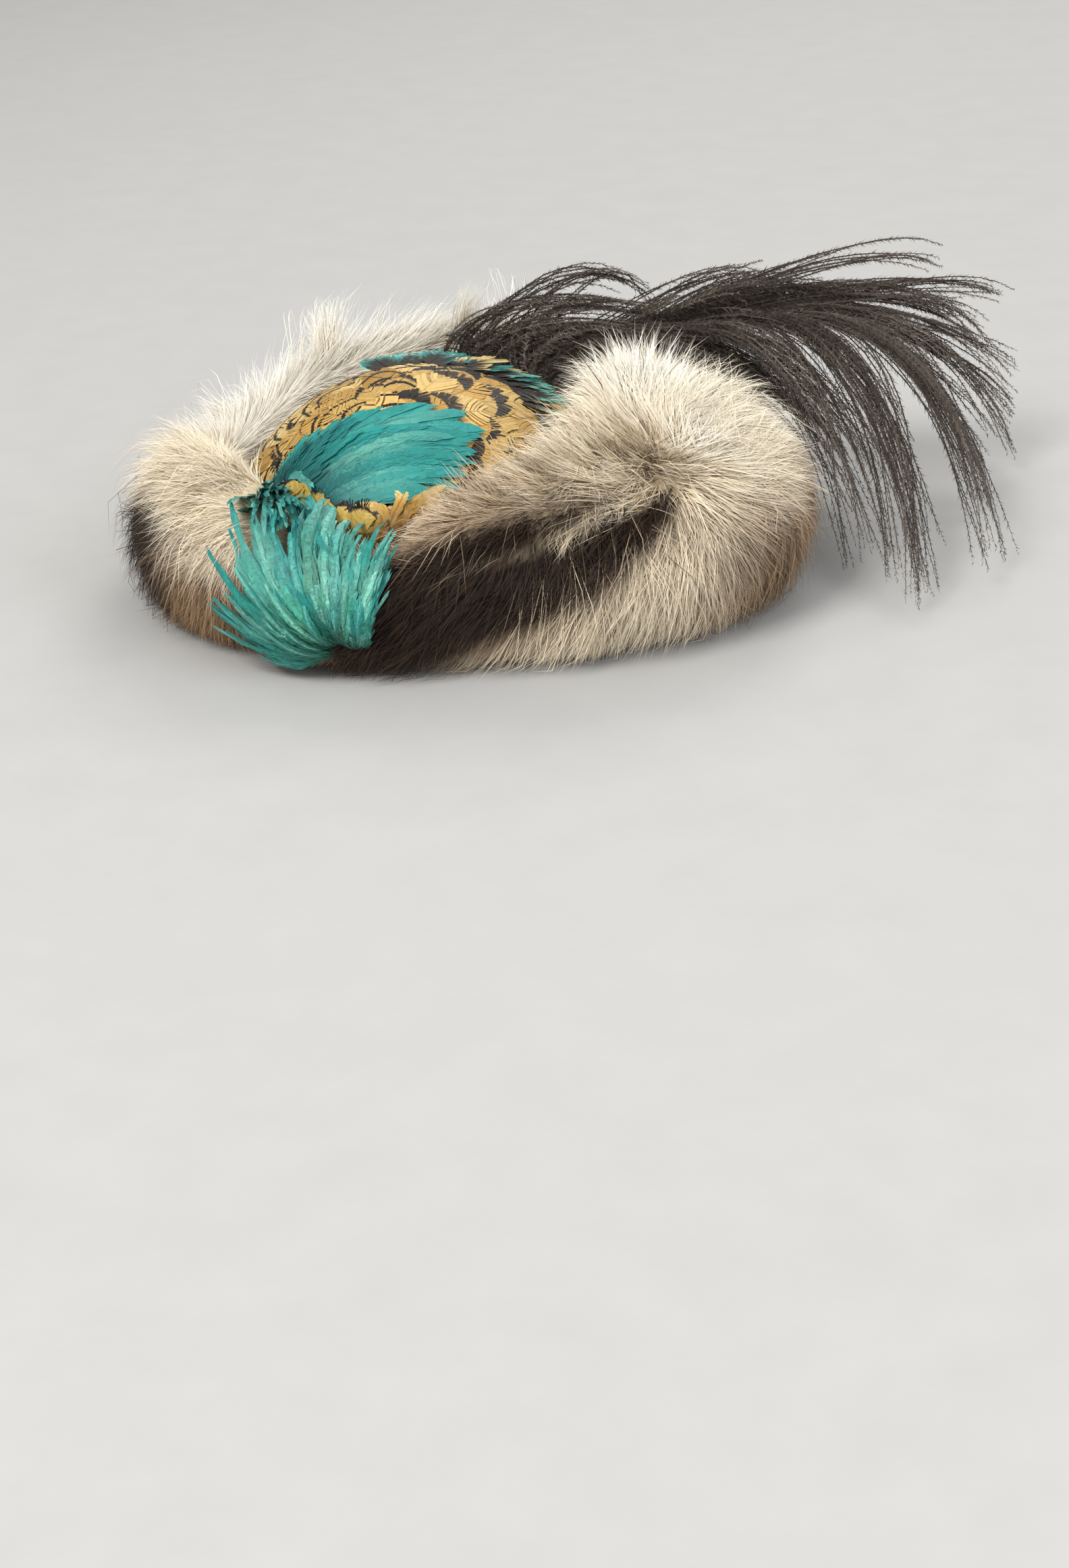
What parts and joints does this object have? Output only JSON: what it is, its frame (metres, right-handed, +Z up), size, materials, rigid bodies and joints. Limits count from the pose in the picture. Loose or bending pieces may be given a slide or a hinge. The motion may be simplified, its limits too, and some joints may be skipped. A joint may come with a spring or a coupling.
{
  "type": "tilt hat with fur roll and plume",
  "caption": "Small round hat with a feathered crown, a wide roll of long fur round it, dyed feathers fanned over the front join and a dark plume curling away at the side.",
  "frame": {"origin": "middle of the whole hat's footprint, on the surface it rests on", "axes": "+Z up out of the crown, the wearer looks along -Y, +X is the wearer's left, where the plume goes"},
  "size_m": [0.3158, 0.23, 0.0856],
  "materials": {
    "crown_felt": "matt wool felt",
    "golden_feathers": "smooth barred feathers, soft sheen",
    "dark_feathers": "black feathers with dyed fringes",
    "teal_feathers": "dyed hackles, soft sheen",
    "fur": "long dense fur, cream to dark brown",
    "gold_ribbons": "curled trimmed quills",
    "olive_feathers": "small rounded feathers with black tips",
    "plume_flues": "matt fine ostrich flues"
  },
  "bodies": {
    "root": {"crown_base": "crown_felt", "crown_feathers": "golden_feathers", "edge_feathers": "dark_feathers", "teal_sweep": "teal_feathers", "fur_roll_left": "fur", "fur_roll_right": "fur", "front_fan": "teal_feathers", "gold_curls": "gold_ribbons", "tip_feathers_left": "olive_feathers", "tip_feathers_right": "olive_feathers", "ostrich_plume": "plume_flues"}
  },
  "joints": []
}
